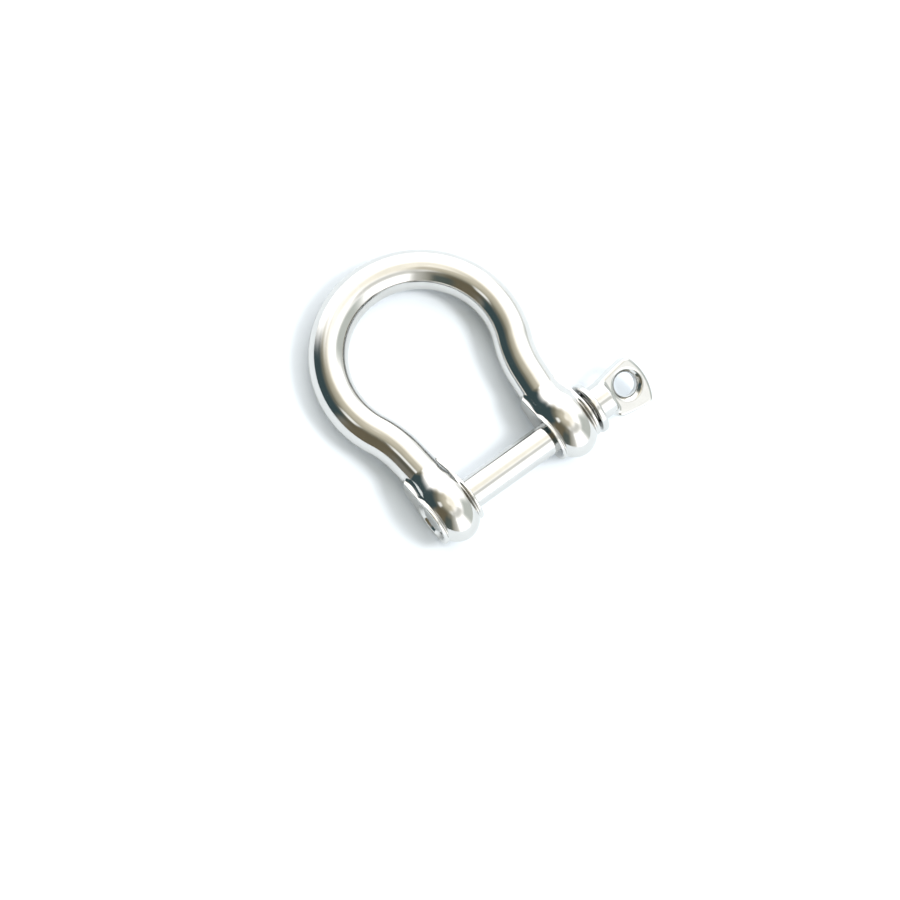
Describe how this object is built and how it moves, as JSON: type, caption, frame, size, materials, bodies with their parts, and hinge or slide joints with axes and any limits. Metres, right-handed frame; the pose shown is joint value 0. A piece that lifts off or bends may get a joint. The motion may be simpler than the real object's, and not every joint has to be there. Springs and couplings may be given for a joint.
{
  "type": "bow shackle",
  "caption": "Round bow shackle in polished steel: a bent bar with two flat-faced ears, closed by an eye screw pin through its jaw.",
  "frame": {"origin": "on the pin's axis, midway between the two ears", "axes": "+X along the pin towards its eye, +Y from the pin towards the crown of the bow, +Z square to the plane of the bow"},
  "size_m": [0.0693, 0.0719, 0.0152],
  "materials": {
    "polished_bow": "mirror-polished stainless steel",
    "polished_pin": "polished stainless steel"
  },
  "bodies": {
    "bow": {"bow": "polished_bow"},
    "pin": {"pin": "polished_pin"}
  },
  "joints": [
    {"name": "pin_draw", "type": "slide", "parent": "bow", "child": "pin", "axis": [1, 0, 0], "range_m": [-0.0006, 0.048]}
  ]
}
